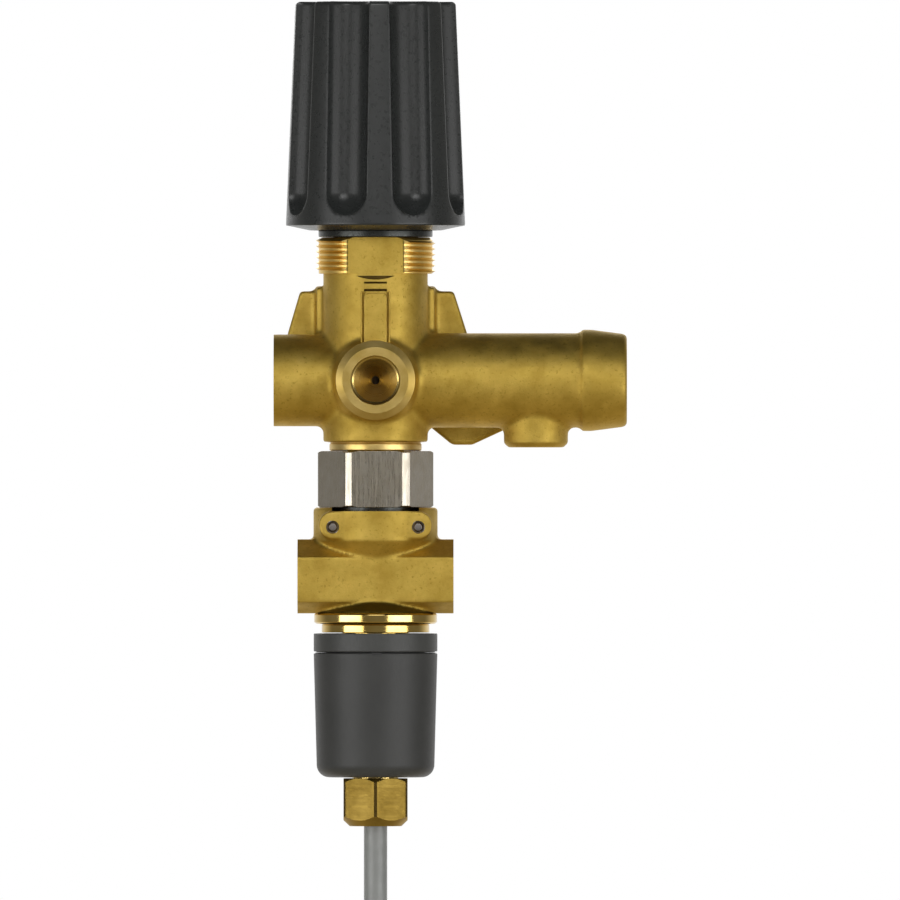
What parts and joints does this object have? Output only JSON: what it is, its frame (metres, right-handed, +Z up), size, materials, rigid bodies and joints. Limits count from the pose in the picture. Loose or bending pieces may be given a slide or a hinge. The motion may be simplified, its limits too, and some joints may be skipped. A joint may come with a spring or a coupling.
{
  "type": "high pressure regulator",
  "caption": "Brass unloader valve with a fluted adjusting knob, side barrels, gauge port, swivel block, pressure switch and lead.",
  "frame": {"origin": "on the flat rear mounting face, level with the axes of the flow barrels and in the plane of the vertical valve axis", "axes": "+Z up along the valve axis towards the knob, +X along the outlet barrel, +Y out of the rear mounting face, so the gauge port faces -Y"},
  "size_m": [0.1115, 0.0484, 0.3604],
  "materials": {
    "forged_brass": "forged and lightly blasted",
    "turned_brass": "turned bright",
    "steel": "drawn and turned",
    "spring_steel": "drawn wire",
    "black_steel": "blackened",
    "knob_plastic": "fine satin moulding",
    "case_plastic": "matte moulding",
    "seal_rubber": "smooth",
    "seal_plastic": "smooth",
    "lead_sheath": "smooth sheath",
    "core_brown": "smooth insulation"
  },
  "bodies": {
    "valve": {"valve_housing": "forged_brass", "seat_insert": "steel", "seat_o_ring": "seal_rubber", "main_spring": "spring_steel", "spring_bonnet": "black_steel", "check_spring": "spring_steel", "check_guide": "turned_brass", "swivel_nipple": "steel", "nipple_o_ring": "seal_rubber"},
    "spring_plate": {"upper_spring_plate": "steel"},
    "knob": {"adjusting_knob": "knob_plastic", "adjusting_spindle": "steel", "knob_screw": "steel", "knob_cover": "knob_plastic"},
    "piston": {"unloader_piston": "steel", "piston_seal": "seal_rubber", "piston_backup_ring": "seal_plastic", "lower_spring_plate": "steel"},
    "check": {"check_cone": "steel"},
    "switch": {"switch_block": "forged_brass", "retaining_pin_left": "steel", "retaining_pin_right": "steel", "switch_adapter": "turned_brass", "adapter_o_ring": "seal_rubber", "return_spring": "spring_steel", "switch_base": "case_plastic", "base_nut": "steel", "switch_cap": "case_plastic", "switch_carrier": "case_plastic", "microswitch_body": "case_plastic", "carrier_pin_left": "steel", "carrier_pin_right": "steel", "terminal_1": "turned_brass", "terminal_2": "turned_brass", "terminal_3": "turned_brass", "switch_wire_1": "core_brown", "switch_wire_2": "core_brown", "switch_wire_3": "core_brown", "gland_sleeve": "turned_brass", "gland_seal": "seal_rubber", "gland_nut": "turned_brass", "inner_lead": "lead_sheath", "lead_tube": "lead_sheath", "lead_coil": "lead_sheath", "coil_tie": "seal_rubber"},
    "pressure_pin": {"control_piston": "steel", "control_o_ring": "seal_rubber"},
    "button": {"microswitch_button": "seal_plastic"}
  },
  "joints": [
    {"name": "screw_travel", "type": "slide", "parent": "valve", "child": "spring_plate", "axis": [0, 0, 1], "range_m": [-0.0045, 0.003], "deforming": ["main_spring"]},
    {"name": "knob_turn", "type": "hinge", "parent": "spring_plate", "child": "knob", "pos_m": [0, -0.016, 0.07], "axis": [0, 0, 1], "range_deg": [-1080, 720]},
    {"name": "piston_lift", "type": "slide", "parent": "valve", "child": "piston", "axis": [0, 0, 1], "range_m": [0, 0.0025], "stiffness_N_per_m": 55000, "deforming": ["main_spring"]},
    {"name": "check_lift", "type": "slide", "parent": "valve", "child": "check", "axis": [1, 0, 0], "range_m": [0, 0.003], "stiffness_N_per_m": 2200, "deforming": ["check_spring"]},
    {"name": "block_swivel", "type": "hinge", "parent": "valve", "child": "switch", "pos_m": [0, -0.016, -0.0396], "axis": [0, 0, 1], "continuous": true},
    {"name": "pressure_travel", "type": "slide", "parent": "switch", "child": "pressure_pin", "axis": [0, 0, -1], "range_m": [0, 0.0006], "stiffness_N_per_m": 5000, "deforming": ["return_spring"]},
    {"name": "button_press", "type": "slide", "parent": "switch", "child": "button", "axis": [0, 0, -1], "range_m": [0, 0.00061]}
  ],
  "couplings": [
    {"joint": "knob_turn", "follows": "screw_travel", "rad_per_m": 4188.8},
    {"joint": "button_press", "follows": "pressure_travel", "ratio": 1}
  ]
}
